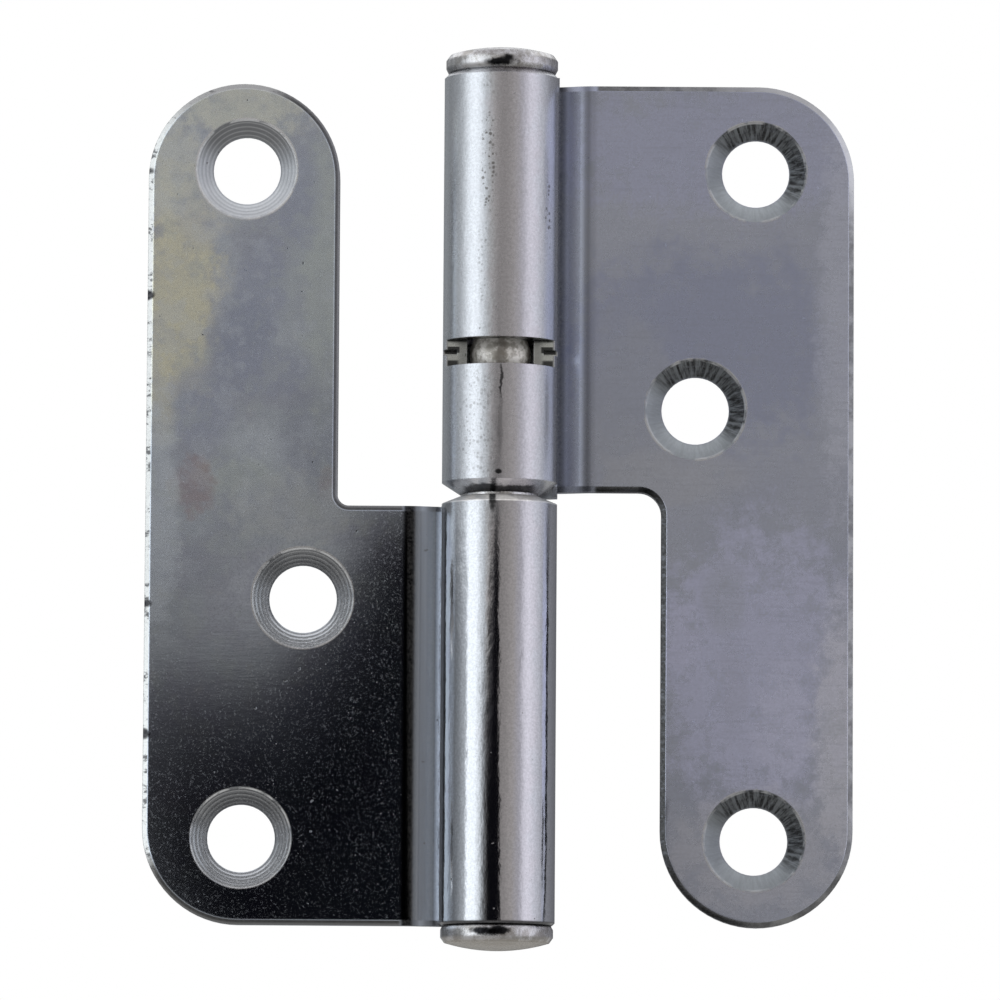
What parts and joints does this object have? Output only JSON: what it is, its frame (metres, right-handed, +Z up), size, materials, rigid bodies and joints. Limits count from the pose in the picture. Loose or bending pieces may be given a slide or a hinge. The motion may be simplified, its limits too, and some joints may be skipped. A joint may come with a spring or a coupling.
{
  "type": "lift-off hinge",
  "caption": "Lift-off hinge of zinc-plated sheet steel: flag-shaped leaves with countersunk holes are rolled into knuckles round a button-ended pin, and the door leaf lifts away from it.",
  "frame": {"origin": "on the pin axis, half way between the tips of the pin's and the plug's button heads", "axes": "+Z up along the pin, +X from the pin toward the door leaf, and -Y the way the countersinks face, toward the viewer of the picture"},
  "size_m": [0.0922, 0.015, 0.1178],
  "materials": {
    "zinc_plated_sheet": "bright zinc plate with a faint blue passivation, fine pits and worn edges",
    "zinc_plated_turned": "bright zinc plate over a turned surface",
    "ball_steel": "ground bearing ball with a film of grease"
  },
  "bodies": {
    "frame_side": {"frame_leaf": "zinc_plated_sheet", "hinge_pin": "zinc_plated_turned"},
    "ball": {"thrust_ball": "ball_steel"},
    "door_side": {"door_leaf": "zinc_plated_sheet", "top_plug": "zinc_plated_turned"}
  },
  "joints": [
    {"name": "door_swing", "type": "hinge", "parent": "frame_side", "child": "ball", "pos_m": [0, 0, 0], "axis": [0, 0, 1], "range_deg": [-180, 150]},
    {"name": "lift_off", "type": "slide", "parent": "ball", "child": "door_side", "axis": [0, 0, 1], "range_m": [0, 0.03]}
  ]
}
